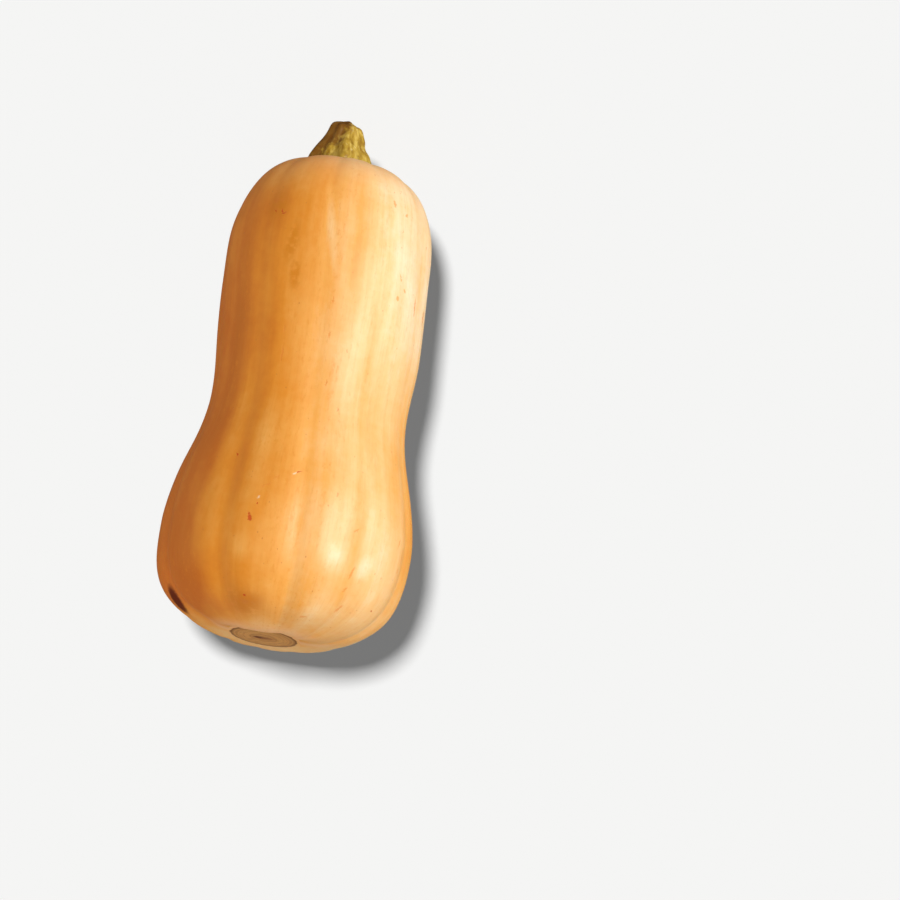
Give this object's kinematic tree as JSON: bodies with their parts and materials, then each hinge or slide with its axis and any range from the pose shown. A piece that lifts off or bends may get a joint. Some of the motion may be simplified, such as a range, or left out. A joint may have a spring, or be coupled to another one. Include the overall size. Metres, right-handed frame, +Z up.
{
  "type": "butternut squash",
  "caption": "Whole butternut squash as picked, lying on its side, with a fat bulb, a thick straight neck and a short ridged stem.",
  "frame": {"origin": "on the surface it lies on, under the middle of the whole squash with its stem", "axes": "+Z up from the surface, +Y from the blossom end towards the stem"},
  "size_m": [0.1088, 0.2392, 0.1069],
  "materials": {
    "rind": "satin",
    "dry_stem": "matte"
  },
  "bodies": {
    "root": {"fruit": "rind", "stem": "dry_stem"}
  },
  "joints": []
}
